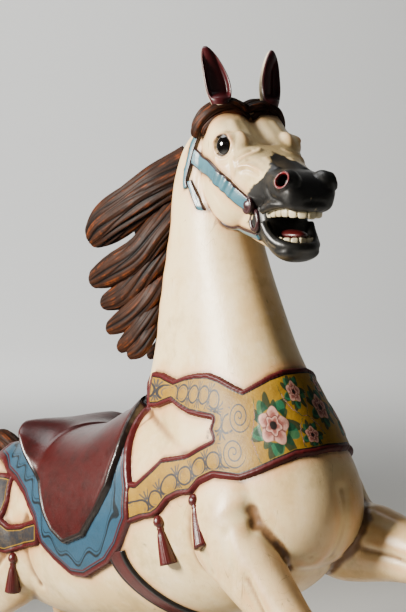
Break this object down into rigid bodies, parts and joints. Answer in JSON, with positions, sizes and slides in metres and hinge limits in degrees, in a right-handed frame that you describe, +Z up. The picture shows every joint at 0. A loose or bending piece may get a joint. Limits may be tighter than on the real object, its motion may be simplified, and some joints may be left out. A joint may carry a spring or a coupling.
{
  "type": "carousel horse",
  "caption": "Carved and painted wooden carousel horse, rearing on its hind hooves on a low moulded plinth, with saddle, harness, bridle and flying mane.",
  "frame": {"origin": "middle of the plinth's flat underside", "axes": "+X the way the horse faces, +Y to its left, +Z up"},
  "size_m": [1.2783, 0.4, 1.388],
  "materials": {
    "painted_horse": "old gloss oil paint in several colours over carved wood, varnished, rubbed and dirty in the recesses",
    "glass_eye": "polished black glass",
    "painted_plinth": "dark red gloss paint, rubbed at the edges"
  },
  "bodies": {
    "root": {"horse": "painted_horse", "eye_right": "glass_eye", "eye_left": "glass_eye", "base": "painted_plinth"}
  },
  "joints": []
}
